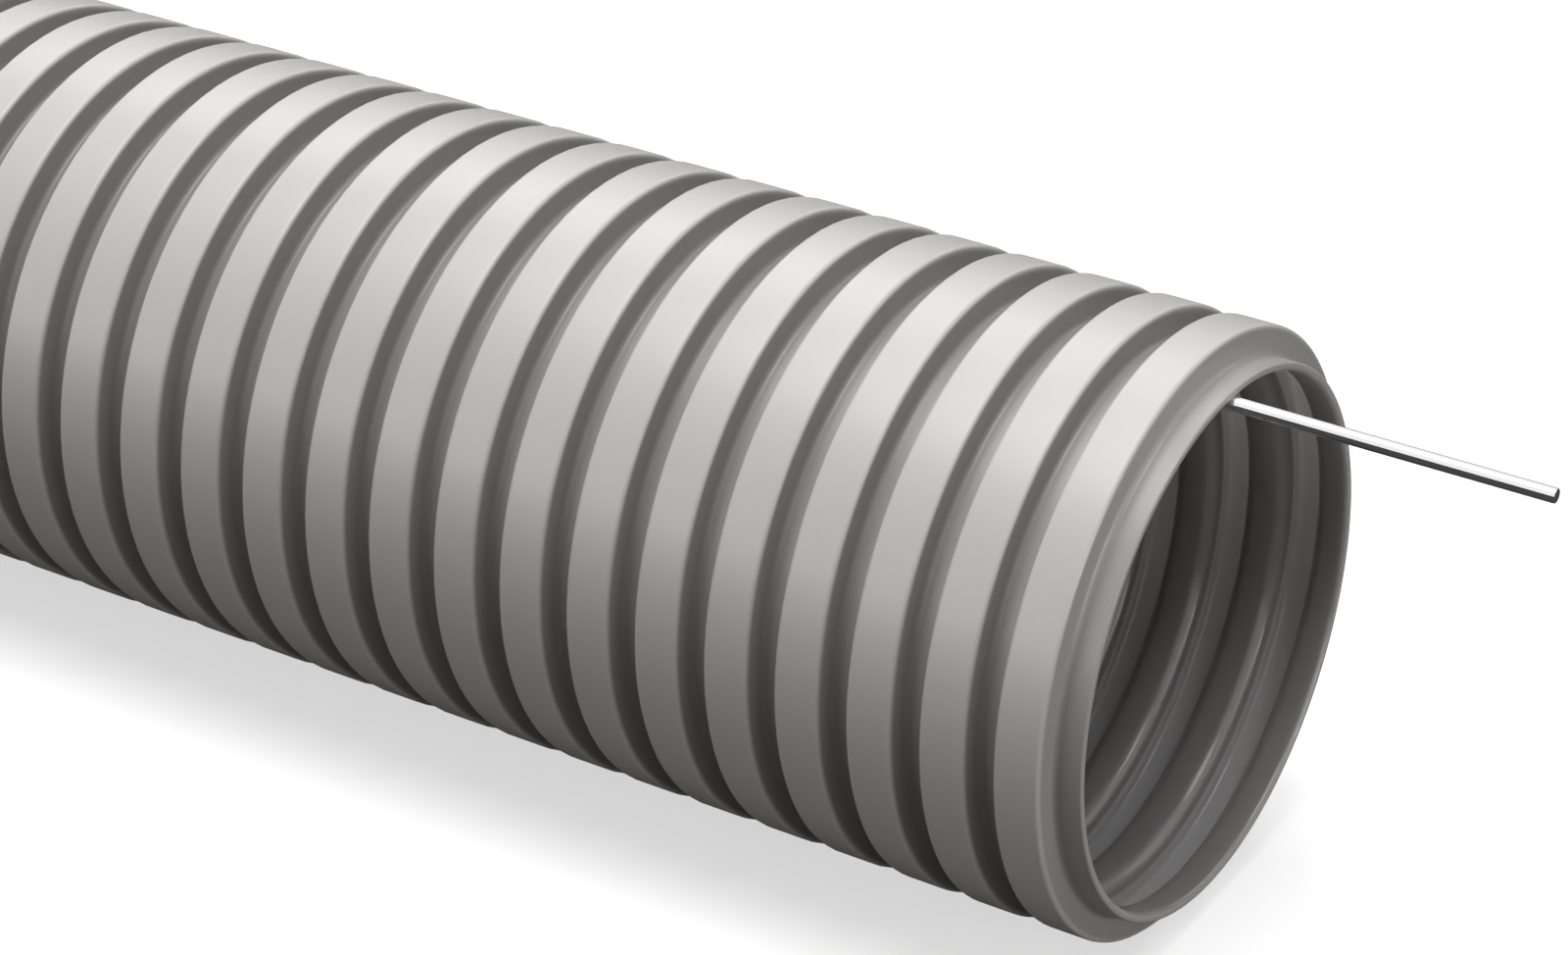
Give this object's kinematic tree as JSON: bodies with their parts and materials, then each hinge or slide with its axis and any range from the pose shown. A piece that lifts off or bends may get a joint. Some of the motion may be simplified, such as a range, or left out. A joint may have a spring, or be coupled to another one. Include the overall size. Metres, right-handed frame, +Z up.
{
  "type": "corrugated conduit",
  "caption": "Straight length of thin-walled corrugated plastic conduit, with square crests and valleys, open at both ends, and a steel draw wire along its bore.",
  "frame": {"origin": "on the floor, below the middle of the conduit", "axes": "+X along the conduit towards the mouth that the picture shows, +Z up; the draw wire runs along the top of the bore"},
  "size_m": [1.0526, 0.05, 0.0498],
  "materials": {
    "grey_pvc": "satin",
    "galvanised_steel_wire": "satin"
  },
  "bodies": {
    "root": {"corrugated_tube": "grey_pvc", "draw_wire": "galvanised_steel_wire"}
  },
  "joints": []
}
